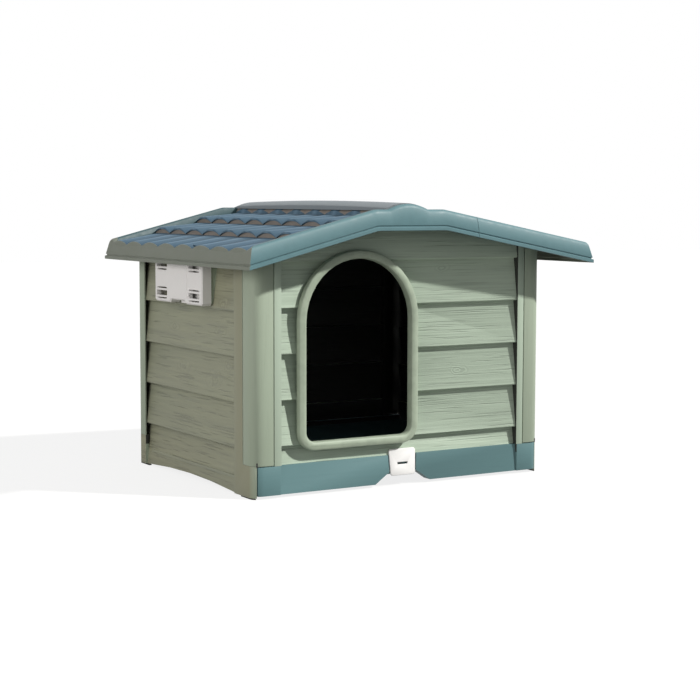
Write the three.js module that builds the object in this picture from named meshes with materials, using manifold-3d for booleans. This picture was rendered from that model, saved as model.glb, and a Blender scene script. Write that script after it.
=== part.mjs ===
// A moulded-resin dog house: four lap-sided walls and corner posts on a raised floor tray, a tiled
// gable roof in two mouldings with a ridge cap, sliding side vents and a swing-out front latch.
// Millimetres, +Z up. The doorway faces -Y, +X is to the right of someone facing the doorway,
// and the origin is on the ground under the middle of the roof.
import * as THREE from "three";
import { mergeVertices } from "three/addons/utils/BufferGeometryUtils.js";
import Module from "manifold-3d";

const wasm = await Module();
wasm.setup();

// ---------------------------------------------------------------- driving dimensions
const seat = 0.3; // gap between two pieces that rest on or fit in each other
const groove = 2; // open seam between mouldings that meet side by side

const roof = {
  width: 890,
  depth: 750,
  eave: 487, // underside of the drip flange at both eaves
  fasciaHeight: 45,
  ridgeRise: 77.5, // eave to the flat middle of the fascia
  foldLeft: -138,
  foldRight: 38,
  seamX: 123, // where the two roof mouldings meet
  seamGap: 1,
  wall: 3.5,
  vergeWidth: 26,
  drip: 7.5, // height of the flange along the lower edge
  dripGroove: 4, // height and depth of the groove over that flange
  legLap: 2, // how far a verge's inner leg reaches below the tiles
  cornerBlend: 18,
};
const overhang = { left: 47.5, right: 92.5, gable: 76 }; // how far the roof reaches past the walls
const field = {
  eaveInset: 9, // the tiles end this far inside the roof's edge
  eaveRise: 36, // from the roof's eave to the valley of the tiles there
  slopeRise: 73, // and on to their valley beside the ridge cap
  barrels: 8,
  barrelSteps: 4,
  barrelSpill: 4, // how far the outermost barrels run in under the verges
  vergeLap: 2, // how far the shell runs into the verges
  crestLow: 2, // crest height at the upper end of a course
  crestHigh: 14, // crest height at the lower end of a course
  crestEave: 7,
  crestCap: 9,
  riser: 2,
  leftCourses: 3,
  rightCourses: 4,
  sideDrop: 4, // the right moulding passes under the left one by its thickness
  lip: 20, // reach of the right moulding's lip under the left one
  lipGap: 1,
  lipDrop: 1, // top of the rim along an eave, below the tiles' valley
};
const seamTongue = { reach: 8, thickness: 2.5 };
const drainSlot = { offsetY: 82, edgeInset: 21, length: 26, width: 7 };
const ridge = {
  centreX: -54,
  halfWidth: 50,
  bump: 12, // rise of the fascia in front of the cap
  plateauRise: 11, // flat on which the cap lies, over the tiles' valley
  skirtHeight: 5, // of the cap's upright edges, at its ends
  shoulder: 6, // run of the slope that leads up to the flat
  arc: 11,
  crown: 4.6, // extra height halfway along
  wall: 3,
  steps: 8,
};

const cornerRadius = 25;
const post = { leg: 48, wall: 3.4, topGap: 3 }; // topGap is to the tiles' valley at the eave
const siding = {
  wall: 4, // moulding thickness
  faceRecess: 4, // how far a board's lower edge lies behind the stiles
  step: 13, // how far each board leans back from its lower edge to its top
  pitch: 97.5,
  edgeChamfer: 2,
  frontLap: 401.5, // lower edge of the board beside the top of the doorway
  sideLap: 392.5,
};
const stile = { front: 16.5, side: 41, depth: 24 };
const cornerTongue = 22; // hidden flange of a wall behind its corner post
const tray = {
  clearance: 7, // under the skirt
  ledge: 68.8, // top of the skirt, on which the front and rear walls stand
  ledgeDepth: 28,
  ledgeSlope: 3,
  floor: 58,
  wall: 4,
  skirtRecessLow: 3, // the skirt leans back between its end sections
  skirtRecessHigh: 7,
  ribDepth: 10,
  rib: 3,
  ribsAcross: 4,
  sideDrop: 18, // depth of the tray's side edges, which stand on the side walls' ledges
};
const sideLedge = { depth: 18, thickness: 6, inset: 24 };
const boot = { wall: 8, front: 10 };
const pad = { height: 3, inset: 1.5, length: 62, width: 26 };
const arch = { top: 12.5, halfSpan: 226, centreY: 20 }; // the side walls' hollowed lower edge

const door = {
  fromLeft: 256, // middle of the doorway from the left wall's face
  width: 264, // clear opening
  sill: 115,
  springing: 372, // where the round top starts
  bottomRadius: 22,
  ringWidth: 19,
  ringProud: 10,
  ringRound: 6,
  sleeve: 6, // wall of the sleeve that lines the doorway
  sleeveDepth: 8,
  wallGap: 3, // round the sleeve to the wall
};

const vent = {
  centreY: 16.5,
  length: 242,
  height: 105,
  rise: 17, // top over the roof's eave
  depth: 24,
  wall: 2.5,
  bevel: 3,
  cornerCut: 6,
  windowOffset: 83,
  windowLength: 54,
  windowHeight: 27,
  windowRadius: 6,
  rowInset: 20, // from the housing's edge to the middle of a row of windows
  bar: 4.3,
  barOffset: 7.9, // of each bar from the middle of its window
  windowDepth: 10,
  windowWall: 2,
  plateLength: 98,
  plateProud: 1.2,
  notchLength: 75,
  notchHeight: 7,
  notchFlank: 6,
};
const shutter = { travel: 27, thickness: 3, lugLength: 40, lugHeight: 11, lugDepth: 12 };

const notch = {
  bottomWidth: 147,
  topWidth: 75,
  taper: 2.5, // of the notch and the latch, on each side
  shoulder: 32,
  depth: 28,
  cheek: 8, // wall beside the notch
};
const latch = {
  width: 69,
  bottom: 23,
  top: 82,
  thickness: 4,
  recessLow: 3, // the latch leans back with the skirt
  recessHigh: 8,
  corner: 4,
  pinZ: 36,
  pinDepth: 14, // behind the posts' face
  pinRadius: 2,
  pinGrip: 5, // length of the pin in each cheek
  eyeRadius: 5,
  lugWidth: 8,
  slotLength: 27,
  slotHeight: 5,
  slotZ: 47,
};

// ---------------------------------------------------------------- derived places
const left = -roof.width / 2 + overhang.left;
const right = roof.width / 2 - overhang.right;
const centreX = (left + right) / 2;
const front = -roof.depth / 2 + overhang.gable;
const rear = -front;
const doorX = left + door.fromLeft;
const tileEnd = roof.width / 2 - field.eaveInset;
const eaveValley = roof.eave + field.eaveRise;
const ridgeValley = eaveValley + field.slopeRise;
const plateau = ridgeValley + ridge.plateauRise;
const shellHalf = roof.depth / 2 - roof.vergeWidth + field.vergeLap;
const ventTop = roof.eave + vent.rise;
const ventBottom = ventTop - vent.height;
const windowRows = [ventBottom + vent.rowInset, ventTop - vent.rowInset];
const latchPinY = front + latch.pinDepth;
const ridgeLeft = ridge.centreX - ridge.halfWidth;
const ridgeRight = ridge.centreX + ridge.halfWidth;

// ---------------------------------------------------------------- materials
const plastic = (color, roughness) =>
  new THREE.MeshStandardMaterial({ color, roughness, metalness: 0 });
const materials = {
  sage: plastic(0xa8b69e, 0.6),
  teal: plastic(0x678788, 0.55),
  tile: plastic(0x5f7d96, 0.55),
  white: plastic(0xe9e8e6, 0.4),
  rubber: plastic(0x23251f, 0.85),
  pin: new THREE.MeshStandardMaterial({ color: 0xb5b8ba, roughness: 0.35, metalness: 0.9 }),
};

// ---------------------------------------------------------------- solids
function solidOf(geometry) {
  const bare = new THREE.BufferGeometry();
  const flat = geometry.index ? geometry.toNonIndexed() : geometry;
  bare.setAttribute("position", flat.getAttribute("position").clone());
  const merged = mergeVertices(bare, 1e-4);
  return new wasm.Manifold(
    new wasm.Mesh({
      numProp: 3,
      vertProperties: new Float32Array(merged.attributes.position.array),
      triVerts: new Uint32Array(merged.index.array),
    }),
  );
}

function box(x0, x1, y0, y1, z0, z1) {
  const geometry = new THREE.BoxGeometry(x1 - x0, y1 - y0, z1 - z0);
  return solidOf(geometry.translate((x0 + x1) / 2, (y0 + y1) / 2, (z0 + z1) / 2));
}

const shapeOf = (points) => new THREE.Shape(points.map(([a, b]) => new THREE.Vector2(a, b)));

// Extrudes an outline along one axis: an XY outline along Z, an XZ outline along Y and a YZ
// outline along X. An outline is a Shape or a list of points.
function prism(outline, axis, from, to, options = {}) {
  const shape = Array.isArray(outline) ? shapeOf(outline) : outline;
  const geometry = new THREE.ExtrudeGeometry(shape, {
    depth: to - from,
    bevelEnabled: false,
    curveSegments: 10,
    ...options,
  });
  const [x, y, z] = [0, 1, 2].map((i) => new THREE.Vector3().setComponent(i, 1));
  const frame = new THREE.Matrix4();
  if (axis === "x") frame.makeBasis(y, z, x).setPosition(from, 0, 0);
  if (axis === "y") frame.makeBasis(x, z, y.clone().negate()).setPosition(0, to, 0);
  if (axis === "z") frame.setPosition(0, 0, from);
  return solidOf(geometry.applyMatrix4(frame));
}

// A closed body through a row of loops, each a list of [x, y, z] with the same count.
// flatten turns a loop's point into the 2-D point that its end caps are cut from.
function loft(loops, flatten) {
  const count = loops[0].length;
  const positions = loops.flat(2);
  const index = [];
  for (let i = 0; i + 1 < loops.length; i++) {
    for (let j = 0; j < count; j++) {
      const next = (j + 1) % count;
      const [a, b] = [i * count + j, i * count + next];
      const [c, d] = [a + count, b + count];
      index.push(a, b, d, a, d, c);
    }
  }
  const cap = (loop) => {
    const contour = loop.map((p) => new THREE.Vector2(...flatten(p)));
    const faces = THREE.ShapeUtils.triangulateShape(contour, []);
    return THREE.ShapeUtils.isClockWise(contour) ? faces.map(([a, b, c]) => [c, b, a]) : faces;
  };
  const last = (loops.length - 1) * count;
  cap(loops[0]).forEach(([a, b, c]) => index.push(c, b, a));
  cap(loops[loops.length - 1]).forEach(([a, b, c]) => index.push(last + a, last + b, last + c));
  const geometry = new THREE.BufferGeometry();
  geometry.setAttribute("position", new THREE.Float32BufferAttribute(positions, 3));
  geometry.setIndex(index);
  const made = solidOf(geometry);
  return made.volume() > 0 ? made : solidOf(turned(geometry));
}

// The same surface with every triangle facing the other way.
function turned(geometry) {
  const index = geometry.index.array;
  for (let i = 0; i < index.length; i += 3) [index[i], index[i + 1]] = [index[i + 1], index[i]];
  return geometry;
}

const join = (...solids) => solids.reduce((a, b) => a.add(b));
const cut = (solid, ...tools) => tools.reduce((a, b) => a.subtract(b), solid);

const group = new THREE.Group();
function place(name, solid, material) {
  const made = solid.getMesh();
  const geometry = new THREE.BufferGeometry();
  const positions = new Float32Array(made.numVert * 3);
  for (let i = 0; i < made.numVert; i++)
    for (let k = 0; k < 3; k++) positions[3 * i + k] = made.vertProperties[made.numProp * i + k];
  geometry.setAttribute("position", new THREE.BufferAttribute(positions, 3));
  geometry.setIndex(new THREE.BufferAttribute(new Uint32Array(made.triVerts), 1));
  const flat = geometry.toNonIndexed();
  flat.computeVertexNormals();
  const mesh = new THREE.Mesh(flat, materials[material]);
  mesh.name = name;
  group.add(mesh);
}

// Mirrors a solid left to right about the middle of the walls, or front to rear.
const mirrorX = (solid) => solid.translate([-centreX, 0, 0]).mirror([1, 0, 0])
  .translate([centreX, 0, 0]);
const mirrorY = (solid) => solid.mirror([0, 1, 0]);

// ---------------------------------------------------------------- outlines
// The walls' outline from above, drawn in by inset.
function footprint(inset) {
  const r = Math.max(cornerRadius - inset, 1);
  const [x0, x1, y0, y1] = [left + inset, right - inset, front + inset, rear - inset];
  const shape = new THREE.Shape();
  shape.moveTo(x0 + r, y0);
  shape.lineTo(x1 - r, y0);
  shape.absarc(x1 - r, y0 + r, r, -Math.PI / 2, 0);
  shape.lineTo(x1, y1 - r);
  shape.absarc(x1 - r, y1 - r, r, 0, Math.PI / 2);
  shape.lineTo(x0 + r, y1);
  shape.absarc(x0 + r, y1 - r, r, Math.PI / 2, Math.PI);
  shape.lineTo(x0, y0 + r);
  shape.absarc(x0 + r, y0 + r, r, Math.PI, 1.5 * Math.PI);
  return shape;
}

// An upright band that follows the footprint.
function band(wall, z0, z1) {
  return cut(
    prism(footprint(0), "z", z0, z1, { curveSegments: 6 }),
    prism(footprint(wall), "z", z0 - 1, z1 + 1, { curveSegments: 6 }),
  );
}

// The doorway's outline in XZ, grown by margin.
function doorway(margin) {
  const half = door.width / 2 + margin;
  const r = door.bottomRadius + margin;
  const z = door.sill - margin;
  const shape = new THREE.Shape();
  shape.moveTo(doorX - half + r, z);
  shape.lineTo(doorX + half - r, z);
  shape.absarc(doorX + half - r, z + r, r, -Math.PI / 2, 0);
  shape.lineTo(doorX + half, door.springing);
  shape.absarc(doorX, door.springing, half, 0, Math.PI);
  shape.lineTo(doorX - half, z + r);
  shape.absarc(doorX - half + r, z + r, r, Math.PI, 1.5 * Math.PI);
  return shape;
}

// ---------------------------------------------------------------- walls
// Section of lap siding as [distance behind the stile face, height], outside first.
function sidingSection(lap, z0, z1) {
  const { wall, faceRecess, step, pitch, edgeChamfer } = siding;
  const laps = [];
  for (let z = lap - Math.ceil((lap - z0) / pitch) * pitch; z < z1; z += pitch) laps.push(z);
  const lean = (z, edge) => faceRecess + (step * (z - edge)) / pitch;
  const outside = [];
  const inside = [];
  for (const edge of laps) {
    const top = edge + pitch;
    if (edge > z0) {
      outside.push([faceRecess + edgeChamfer, edge], [faceRecess, edge + edgeChamfer]);
      inside.push([faceRecess + wall, edge + wall]);
    } else {
      outside.push([lean(z0, edge), z0]);
      inside.push([lean(z0, edge) + wall, z0]);
    }
    if (top + wall < z1) {
      outside.push([lean(top, edge), top]);
      inside.push([lean(top, edge) + wall, top + wall]);
    } else {
      outside.push([lean(Math.min(top, z1), edge), z1]);
      inside.push([lean(Math.min(top, z1), edge) + wall, z1]);
      break;
    }
  }
  return [...outside, ...inside.reverse()];
}

// Height of the underside of the roof's tile field at x, where the gable walls end.
function gableHeight(x) {
  const under = roof.wall + seat;
  if (x < ridgeLeft) return valley(x) - under;
  if (x < ridgeRight) return ridgeValley - under;
  return valley(x) - field.sideDrop - under;
}

// The gable outline in XZ between x0 and x1, from z0 up.
function gable(x0, x1, z0) {
  const tops = [x1, ridgeRight + 0.01, ridgeRight, ridgeLeft, x0];
  return [[x0, z0], [x1, z0], ...tops.map((x) => [x, gableHeight(x)])];
}

// A front or rear wall: boards, a stile at each end and a tongue behind each corner post.
function gableWall() {
  const [x0, x1] = [left + post.leg + groove, right - post.leg - groove];
  const bottom = tray.ledge + seat;
  const top = ridgeValley;
  const section = sidingSection(siding.frontLap, bottom, top);
  const boards = prism(section.map(([d, z]) => [front + d, z]), "x", x0, x1);
  const stiles = join(
    box(x0, x0 + stile.front, front, front + stile.depth, bottom, top),
    box(x1 - stile.front, x1, front, front + stile.depth, bottom, top),
  );
  const tongueFace = front + post.wall + seat;
  const tongue = box(
    x0 - cornerTongue, x1 + cornerTongue, tongueFace, tongueFace + siding.wall, bottom, top,
  );
  const middle = box(x0 + 1, x1 - 1, front - 1, front + stile.depth, bottom - 1, top + 1);
  const trim = prism(
    gable(x0 - cornerTongue, x1 + cornerTongue, bottom), "y", front - 1, front + stile.depth + 1,
  );
  return join(boards, stiles, cut(tongue, middle)).intersect(trim);
}

function frontWall() {
  const opening = prism(
    doorway(door.sleeve + door.wallGap), "y", front - 1, front + stile.depth + 1,
  );
  return cut(gableWall(), opening);
}

// ---------------------------------------------------------------- side walls (left one)
function sideBoot() {
  const top = tray.ledge + groove - seat;
  const solid = band(boot.wall, pad.height, top);
  const stileEnd = front + post.leg + stile.side;
  const frontCorner = box(left - 1, left + boot.front, front - 1, stileEnd, 0, top);
  const rearCorner = box(left - 1, left + boot.front, rear - post.leg, rear + 1, 0, top);
  return join(solid.intersect(frontCorner), solid.intersect(rearCorner));
}

function ventPlinth() {
  const half = vent.length / 2 - vent.wall - 1;
  return box(
    left, left + siding.faceRecess + siding.step + siding.wall,
    vent.centreY - half, vent.centreY + half, ventBottom + vent.wall + 1, ventTop - vent.wall - 1,
  );
}

// The four air holes behind the vent, which the shutter closes.
function airHoles(x0, x1) {
  const holes = [];
  for (const side of [-1, 1])
    for (const row of windowRows) {
      const y1 = vent.centreY + side * vent.windowOffset;
      const half = vent.windowHeight / 2 - 1;
      holes.push(box(x0, x1, y1 - shutter.travel + 1, y1 - 1, row - half, row + half));
    }
  return holes;
}

function leftWall() {
  const tongueEnd = cornerRadius + 1;
  const [y0, y1] = [front + tongueEnd, rear - tongueEnd];
  const seam = front + post.leg + groove;
  const top = gableHeight(left);
  const section = sidingSection(siding.sideLap, pad.height, top);
  const boards = prism(section.map(([d, z]) => [left + d, z]), "y", seam, y1);
  const stileBar = box(
    left, left + siding.faceRecess + siding.step + siding.wall,
    seam, front + post.leg + stile.side, pad.height, top,
  );
  const tongueFace = left + post.wall + seat;
  const tongue = box(tongueFace, tongueFace + siding.wall, y0, seam + 1, tray.ledge, top);
  const ledgeTop = tray.floor - tray.sideDrop - seat;
  const ledge = box(
    left + siding.faceRecess + siding.wall / 2, left + siding.faceRecess + siding.step + sideLedge.depth,
    front + post.leg + sideLedge.inset, rear - post.leg - sideLedge.inset,
    ledgeTop - sideLedge.thickness, ledgeTop,
  );
  const rise = arch.top - pad.height;
  const radius = (rise ** 2 + arch.halfSpan ** 2) / (2 * rise);
  const archTool = new THREE.CylinderGeometry(radius, radius, 60, 160)
    .rotateZ(Math.PI / 2)
    .translate(left + 15, arch.centreY, arch.top - radius);
  const window = airHoles(left - 1, left + 60);
  const made = join(boards, stileBar, tongue, sideBoot(), ledge, ventPlinth());
  return cut(made, solidOf(archTool), ...window);
}

// ---------------------------------------------------------------- corner posts (front left)
function cornerPost() {
  const top = eaveValley - post.topGap;
  const corner = box(left - 1, left + post.leg, front - 1, front + post.leg, 0, top + 1);
  return band(post.wall, tray.ledge + groove, top).intersect(corner);
}

// ---------------------------------------------------------------- floor tray
function floorTray() {
  const { clearance, ledge, ledgeDepth, ledgeSlope, floor, wall, sideDrop } = tray;
  const inner = left + siding.faceRecess + siding.step + siding.wall + seat;
  const [x0, x1] = [inner, 2 * centreX - inner];
  const [low, high] = [front + tray.skirtRecessLow, front + tray.skirtRecessHigh];
  const ledgeBack = front + ledgeDepth;
  const half = [
    [low, clearance], [high, ledge], [ledgeBack, ledge], [ledgeBack + ledgeSlope, floor],
  ];
  const under = [
    [ledgeBack + ledgeSlope - wall, floor - wall], [ledgeBack - wall, ledge - wall],
    [high + wall, ledge - wall], [low + wall, clearance],
  ];
  const flip = (points) => points.map(([y, z]) => [-y, z]).reverse();
  const pan = prism([...half, ...flip(half), ...flip(under), ...under], "x", x0, x1);
  const edges = [x0, x1 - wall].map((x) =>
    box(x, x + wall, front + ledgeDepth, rear - ledgeDepth, floor - sideDrop, floor));
  const end = skirtEnd();
  const hollow = skirtHollow();
  const four = (solid) => [solid, mirrorX(solid), mirrorY(solid), mirrorX(mirrorY(solid))];
  const shell = cut(join(pan, ...edges, ...four(end)), ...four(hollow));
  return cut(join(shell, ...ribs(x0, x1), notchWalls()), ...latchPocket());
}

// At each end the skirt steps out to the face of the post and the stile (front left one).
function skirtEnd() {
  const corner = box(
    left + boot.front + groove, left + post.leg + stile.front, front - 1,
    front + tray.ledgeDepth - tray.wall, tray.clearance, tray.ledge,
  );
  return prism(footprint(0), "z", 0, tray.ledge + 1, { curveSegments: 6 }).intersect(corner);
}

function skirtHollow() {
  const inside = box(
    left + boot.front + groove + tray.wall, left + post.leg + stile.front - tray.wall,
    front, front + tray.ledgeDepth - tray.wall, 0, tray.ledge - tray.wall,
  );
  return prism(footprint(tray.wall), "z", -1, tray.ledge, { curveSegments: 6 }).intersect(inside);
}

// Ribs under the floor, both ways.
function ribs(x0, x1) {
  const { floor, rib, ribDepth, ribsAcross, ledgeDepth } = tray;
  const [y0, y1] = [front + ledgeDepth - 1, rear - ledgeDepth + 1];
  const made = [];
  for (let i = 1; i <= ribsAcross; i++) {
    const x = x0 + ((x1 - x0) * i) / (ribsAcross + 1) - rib / 2;
    made.push(box(x, x + rib, y0, y1, floor - ribDepth, floor - 1));
  }
  for (const share of [-1, 0, 1]) {
    const y = (share * rear) / 2 - rib / 2;
    made.push(box(x0 + 1, x1 - 1, y, y + rib, floor - ribDepth, floor - 1));
  }
  return made;
}

// The notch's outline in XZ, grown by margin: flared flanks, then sides that widen a little.
function notchOutline(margin, z0, z1) {
  const bottom = notch.bottomWidth / 2 + margin;
  const waist = notch.topWidth / 2 - notch.taper + margin;
  const top = notch.topWidth / 2 + margin;
  return [
    [-bottom, z0], [bottom, z0], [waist, notch.shoulder], [top, z1], [-top, z1],
    [-waist, notch.shoulder],
  ].map(([x, z]) => [centreX + x, z]);
}

// The walls that line the notch, with a rear wall behind the latch only.
function notchWalls() {
  const outline = notchOutline(notch.cheek, tray.clearance, tray.ledge);
  const [y0, y1] = [front + tray.skirtRecessHigh, front + notch.depth + tray.wall];
  const below = box(left, right, y1 - tray.wall, y1 + 1, 0, latch.bottom);
  return cut(prism(outline, "y", y0, y1), below);
}

function latchPocket() {
  const pinHole = new THREE.CylinderGeometry(
    latch.pinRadius + seat, latch.pinRadius + seat, pinLength() + seat, 16,
  );
  pinHole.rotateZ(Math.PI / 2).translate(centreX, latchPinY, latch.pinZ);
  const outline = notchOutline(0, tray.clearance - 1, tray.ledge + 1);
  return [prism(outline, "y", front - 1, front + notch.depth), solidOf(pinHole)];
}

// ---------------------------------------------------------------- front latch and its pin
const pinLength = () => notch.topWidth + 2 * latch.pinGrip;

function frontLatch() {
  const { bottom, top, corner, thickness } = latch;
  const [low, high] = [latch.width / 2 - notch.taper, latch.width / 2];
  const face = [
    [corner - low, bottom], [low - corner, bottom], [low, bottom + corner], [high, top - corner],
    [high - corner, top], [corner - high, top], [-high, top - corner], [-low, bottom + corner],
  ].map(([x, z]) => [centreX + x, z]);
  const [y0, y1] = [front + latch.recessLow, front + latch.recessHigh];
  const leaning = [[y0, bottom], [y0 + thickness, bottom], [y1 + thickness, top], [y1, top]];
  const plate = prism(leaning, "x", centreX - high, centreX + high)
    .intersect(prism(face, "y", front, latchPinY));
  const slot = box(
    centreX - latch.slotLength / 2, centreX + latch.slotLength / 2, front, latchPinY,
    latch.slotZ, latch.slotZ + latch.slotHeight,
  );
  const lugs = [-1, 1].map((side) => {
    const x = centreX + side * (low - latch.lugWidth / 2 - corner);
    const cheek = box(
      x - latch.lugWidth / 2, x + latch.lugWidth / 2, y1, latchPinY,
      latch.pinZ - latch.eyeRadius, latch.pinZ + latch.eyeRadius,
    );
    const eye = new THREE.CylinderGeometry(
      latch.eyeRadius, latch.eyeRadius, latch.lugWidth, 20,
    ).rotateZ(Math.PI / 2);
    return join(cheek, solidOf(eye.translate(x, latchPinY, latch.pinZ)));
  });
  const bore = new THREE.CylinderGeometry(
    latch.pinRadius + seat, latch.pinRadius + seat, latch.width + 4, 16,
  );
  bore.rotateZ(Math.PI / 2).translate(centreX, latchPinY, latch.pinZ);
  return cut(join(plate, ...lugs), slot, solidOf(bore));
}

function latchPin() {
  const pin = new THREE.CylinderGeometry(latch.pinRadius, latch.pinRadius, pinLength(), 16);
  return solidOf(pin.rotateZ(Math.PI / 2).translate(centreX, latchPinY, latch.pinZ));
}

// ---------------------------------------------------------------- doorway ring
function doorRing() {
  const flangeBack = front + siding.faceRecess - seat;
  const ring = doorway(door.ringWidth - door.ringRound);
  ring.holes.push(doorway(door.ringRound));
  const flange = prism(ring, "y", front - door.ringProud + door.ringRound, flangeBack, {
    bevelEnabled: true, bevelThickness: door.ringRound, bevelSize: door.ringRound,
    bevelSegments: 2, curveSegments: 10,
  });
  const keep = box(left, right, front - door.ringProud - 1, flangeBack, 0, plateau);
  const sleeve = doorway(door.sleeve);
  sleeve.holes.push(doorway(0));
  const tube = prism(
    sleeve, "y", flangeBack - 3, front + door.sleeveDepth, { curveSegments: 10 },
  );
  return join(flange.intersect(keep), tube);
}

// ---------------------------------------------------------------- roof
// Underside of the drip flange at x: it rises with each slope and is level over the middle.
function flangeHeight(x) {
  const half = roof.width / 2;
  if (x < roof.foldLeft) return roof.eave + (roof.ridgeRise * (x + half)) / (roof.foldLeft + half);
  if (x > roof.foldRight) return roof.eave + (roof.ridgeRise * (half - x)) / (half - roof.foldRight);
  return roof.eave + roof.ridgeRise;
}

// Valley line of the tiles at x.
function valley(x) {
  const rise = ridgeValley - eaveValley;
  if (x < ridgeLeft)
    return eaveValley + (rise * (x + tileEnd)) / (ridgeLeft + tileEnd);
  if (x > ridgeRight)
    return eaveValley + (rise * (tileEnd - x)) / (tileEnd - ridgeRight);
  return ridgeValley;
}

// Rise of the front and rear fascias over the ends of the ridge cap.
function bump(x) {
  const t = (x - ridge.centreX) / ridge.halfWidth;
  return Math.abs(t) < 1 ? ridge.bump * (1 - t * t) : 0;
}

// The drip flange and the groove over it, from the outside or, given a thickness, the inside.
function dripProfile(thickness = 0) {
  const { drip, dripGroove } = roof;
  if (!thickness)
    return [
      [0, 0], [0, drip], [dripGroove, drip + 1], [dripGroove, drip + dripGroove - 1],
      [dripGroove / 2, drip + dripGroove],
    ];
  const inner = dripGroove + thickness;
  return [[inner, drip + dripGroove], [inner, drip + 0.5], [thickness, drip - 1], [thickness, 0]];
}

// Section of a verge at x as [inset from the outer edge, height over the flange's underside].
function vergeSection(x) {
  const top = roof.fasciaHeight + bump(x);
  const drop = x > roof.seamX ? field.sideDrop : 0;
  const foot = valley(x) - drop - roof.wall - roof.legLap - flangeHeight(x);
  const t = roof.wall;
  return [
    ...dripProfile(), [8, top - 9], [12, top - 2], [17, top], [22, top],
    [roof.vergeWidth - 1, top - 3], [roof.vergeWidth, foot],
    [roof.vergeWidth - t, foot], [roof.vergeWidth - 1 - t, top - 3 - t / 2], [20, top - t],
    [18, top - t], [14, top - 4.5], [11.5, top - 10], ...dripProfile(t),
  ];
}

// Section of the lip along an eave, with the same points in the same order as a verge's.
function lipSection(side) {
  const t = roof.wall;
  const top = field.eaveRise - (side > 0 ? field.sideDrop : 0) - field.lipDrop;
  const under = top - t;
  return [
    ...dripProfile(), [7, top - 5], [8, top], [10, top], [12, top], [13.5, top],
    [14, under], [13, under], [12.5, under], [12, under], [11.5, under], [11, under - 0.3],
    [10.4, under - 3], ...dripProfile(t),
  ];
}

// The rim of one roof moulding in one sweep: front verge, eave lip and rear verge, mitred at
// the corners. side is -1 for the left moulding and 1 for the right.
function rim(side, seam) {
  const [halfX, halfY] = [roof.width / 2, roof.depth / 2];
  const stations = [roof.foldLeft, roof.foldRight];
  for (let i = 0; i <= ridge.steps; i++)
    stations.push(ridgeLeft + (2 * i * ridge.halfWidth) / ridge.steps);
  const outward = stations.filter((x) => side * (x - seam) > 0).sort((a, b) => side * (a - b));
  const verge = (end) => [
    ...[seam, ...outward].map((x) => vergeSection(x).map(([inset, dz]) =>
      [x, end * (halfY - inset), flangeHeight(x) + dz])),
    vergeSection(side * halfX).map(([inset, dz]) => {
      const x = side * (halfX - inset);
      return [x, end * (halfY - inset), flangeHeight(x) + dz];
    }),
  ];
  const lip = (y) => lipSection(side).map(([inset, dz]) =>
    [side * (halfX - inset), y, roof.eave + dz]);
  const lipEnd = halfY - roof.vergeWidth - roof.cornerBlend;
  return loft(
    [...verge(-1), lip(-lipEnd), lip(lipEnd), ...verge(1).reverse()], ([, y, z]) => [y, z],
  );
}

const barrelPitch = () =>
  (roof.depth - 2 * roof.vergeWidth + 2 * field.barrelSpill) / field.barrels;

// Share of a barrel's crest height across the slope: arcs that meet in cusps.
function barrel(y) {
  const pitch = barrelPitch();
  const t = ((((y / pitch) % 1) + 1) % 1) * 2 - 1;
  return 1 - t * t;
}

// A corrugated shell whose line in XZ is given as [x, base height, crest height] from low x to
// high x, between two walls at +-halfWidth. The underside is the same line, wall lower.
function tileShell(line, halfWidth) {
  const steps = field.barrels * field.barrelSteps;
  const pitch = barrelPitch() / field.barrelSteps;
  const ys = [];
  for (let i = 0; i <= steps; i++) ys.push((i - steps / 2) * pitch);
  const kept = ys.filter((y) => Math.abs(y) < halfWidth - 0.5);
  const loops = [-halfWidth, ...kept, halfWidth].map((y) => {
    const top = line.map(([x, z, crest]) => [x, y, z + crest * barrel(y)]);
    const below = line.map(([x, z, crest, shift = 0]) =>
      [x + shift, y, z + crest * barrel(y) - roof.wall]);
    return [...top, ...below.reverse()];
  });
  return loft(loops, ([x, , z]) => [x, z]);
}

// The line of one slope's courses from the ridge to the eave. towards is -1 for the left slope.
function courseLine(starts, towards, drop) {
  const line = [];
  const base = (x) => valley(x) - drop;
  starts.forEach((x, i) => {
    const last = i === starts.length - 1;
    const lower = last ? towards * tileEnd : starts[i + 1];
    const crest = last ? field.crestEave : field.crestHigh;
    const upper = x + towards * field.riser;
    line.push([upper, base(upper), field.crestLow, -towards * roof.wall]);
    line.push([lower, base(lower), crest, last ? 0 : -towards * roof.wall]);
  });
  return line;
}

const courseStarts = (from, to, count) =>
  Array.from({ length: count }, (_, i) => from + ((to - from) * i) / count);

function drainSlots() {
  return [-1, 1].map((side) => {
    const slot = new THREE.CylinderGeometry(1, 1, 60, 16).rotateX(Math.PI / 2);
    slot.scale(drainSlot.width / 2, drainSlot.length / 2, 1);
    return solidOf(slot.translate(drainSlot.edgeInset - roof.width / 2, side * drainSlot.offsetY, eaveValley));
  });
}

// Crest height at x in the course that ends at the seam.
function seamCrest(x) {
  const start = ridgeRight + field.riser;
  return field.crestLow
    + ((field.crestHigh - field.crestLow) * (x - start)) / (roof.seamX - start);
}

function leftRoof() {
  const end = roof.seamX - roof.seamGap / 2;
  const leftStarts = courseStarts(ridgeLeft, -tileEnd, field.leftCourses);
  const slope = courseLine(leftStarts, -1, 0).reverse();
  const cap = [
    [ridgeLeft, valley(ridgeLeft), field.crestCap, roof.wall],
    [ridgeLeft + ridge.shoulder, plateau, 0], [ridgeRight - ridge.shoulder, plateau, 0],
    [ridgeRight, valley(ridgeRight), field.crestCap, -roof.wall],
    [ridgeRight + field.riser, valley(ridgeRight + field.riser), field.crestLow],
    [end - field.lip, valley(end - field.lip), seamCrest(end - field.lip)],
    [end, valley(end), field.crestHigh],
  ];
  const shell = tileShell([...slope, ...cap], shellHalf);
  return cut(join(shell, rim(-1, end)), ...drainSlots());
}

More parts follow.
